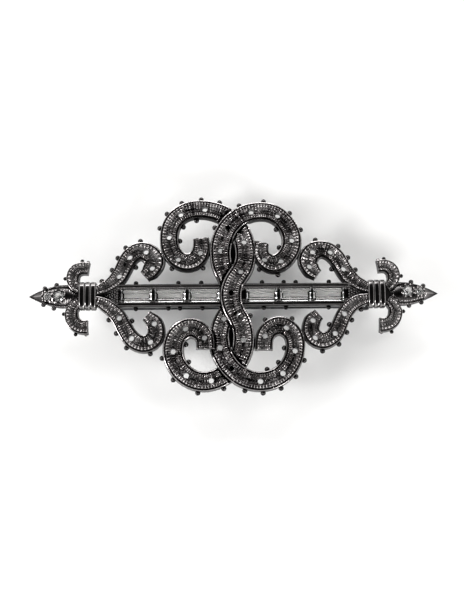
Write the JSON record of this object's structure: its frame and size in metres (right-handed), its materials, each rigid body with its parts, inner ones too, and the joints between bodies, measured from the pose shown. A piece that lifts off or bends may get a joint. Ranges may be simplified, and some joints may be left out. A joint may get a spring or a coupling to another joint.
{
  "type": "barrette",
  "caption": "Scrollwork hair barrette: interlaced ribbed bands, a bar of rectangular clear stones, fleur-de-lis ends and a hinged spring clip with squeeze catch behind.",
  "frame": {"origin": "middle of the barrette in plan, on the surface that the closed clip rests on", "axes": "+X along the length towards the catch end, +Y across, +Z out of the decorative face"},
  "size_m": [0.1018, 0.0498, 0.0128],
  "materials": {
    "cast_gunmetal": "polished gunmetal plating, dark in the recesses",
    "clear_stone": "polished, foil backed",
    "clip_steel": "satin nickel plate",
    "spring_steel": "satin spring steel",
    "fastener_steel": "bright"
  },
  "bodies": {
    "ornament": {"scroll_band_a": "cast_gunmetal", "scroll_band_b": "cast_gunmetal", "side_scroll_left_top": "cast_gunmetal", "side_scroll_left_bottom": "cast_gunmetal", "side_scroll_right_top": "cast_gunmetal", "side_scroll_right_bottom": "cast_gunmetal", "crossbar": "cast_gunmetal", "collar_left": "cast_gunmetal", "collar_right": "cast_gunmetal", "finial_left": "cast_gunmetal", "finial_right": "cast_gunmetal", "baguette_stone_1": "clear_stone", "baguette_stone_2": "clear_stone", "baguette_stone_3": "clear_stone", "baguette_stone_4": "clear_stone", "baguette_stone_5": "clear_stone", "baguette_stone_6": "clear_stone", "large_round_stone_left": "clear_stone", "large_round_stone_right": "clear_stone", "small_round_stone_left": "clear_stone", "small_round_stone_right": "clear_stone", "base_plate": "clip_steel", "hinge_pin": "fastener_steel", "tension_bow": "spring_steel", "catch_base": "clip_steel", "plate_rivets": "fastener_steel", "catch_rivet": "fastener_steel"},
    "arm": {"clip_arm": "clip_steel"},
    "lug_front": {"catch_lug_front": "spring_steel"},
    "lug_back": {"catch_lug_back": "spring_steel"}
  },
  "joints": [
    {"name": "arm_hinge", "type": "hinge", "parent": "ornament", "child": "arm", "pos_m": [-0.032, 0, 0.0017], "axis": [0, 1, 0], "range_deg": [0, 95]},
    {"name": "lug_front_flex", "type": "hinge", "parent": "ornament", "child": "lug_front", "pos_m": [0.0323, -0.0014, 0.0069], "axis": [1, 0, 0], "range_deg": [0, 4], "stiffness_Nm_per_rad": 0.02},
    {"name": "lug_back_flex", "type": "hinge", "parent": "ornament", "child": "lug_back", "pos_m": [0.0323, 0.0014, 0.0069], "axis": [-1, 0, 0], "range_deg": [0, 4], "stiffness_Nm_per_rad": 0.02}
  ]
}
